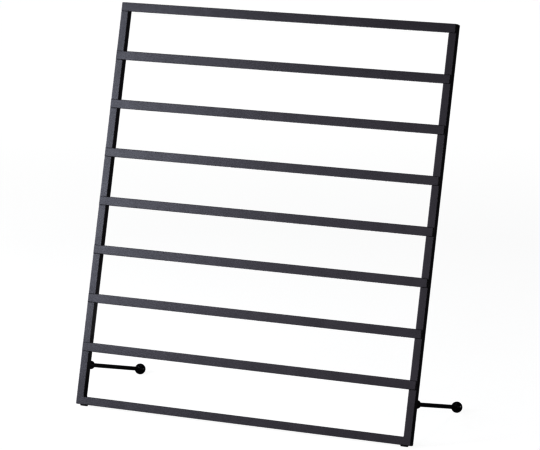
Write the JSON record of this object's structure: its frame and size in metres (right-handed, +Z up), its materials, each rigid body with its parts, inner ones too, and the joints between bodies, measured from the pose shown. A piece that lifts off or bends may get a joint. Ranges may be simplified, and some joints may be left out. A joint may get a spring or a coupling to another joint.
{
  "type": "leaning storage rack",
  "caption": "Leaning steel ladder rack of square tube with evenly spaced flat bars, propped from behind by round rods with ball feet.",
  "frame": {"origin": "on the floor, under the middle of the rack's width and depth", "axes": "+X to the rack's right seen from the front, +Y to the back, towards the ball feet, +Z up; the panel leans back 16 degrees, its top towards +Y"},
  "size_m": [0.666, 0.2592, 0.722],
  "materials": {
    "coated_tube": "black powder coat, fine grain, satin",
    "coated_bar": "black powder coat, fine grain, satin",
    "coated_weld": "weld bead under the same black powder coat",
    "coated_leg": "black lacquered steel, semi-gloss",
    "ball_plastic": "glossy black moulded plastic",
    "cap_plastic": "matte black moulded plastic",
    "pad_rubber": "matte black rubber"
  },
  "bodies": {
    "root": {"left_post": "coated_tube", "right_post": "coated_tube", "bottom_bar": "coated_tube", "top_bar": "coated_bar", "rung_1": "coated_bar", "rung_2": "coated_bar", "rung_3": "coated_bar", "rung_4": "coated_bar", "rung_5": "coated_bar", "rung_6": "coated_bar", "rung_7": "coated_bar", "left_post_cap": "cap_plastic", "right_post_cap": "cap_plastic", "left_weld_beads": "coated_weld", "right_weld_beads": "coated_weld", "left_leg_socket": "coated_leg", "right_leg_socket": "coated_leg", "left_leg_rod": "coated_leg", "right_leg_rod": "coated_leg", "left_ball_foot": "ball_plastic", "right_ball_foot": "ball_plastic", "left_floor_pad": "pad_rubber", "right_floor_pad": "pad_rubber"}
  },
  "joints": []
}
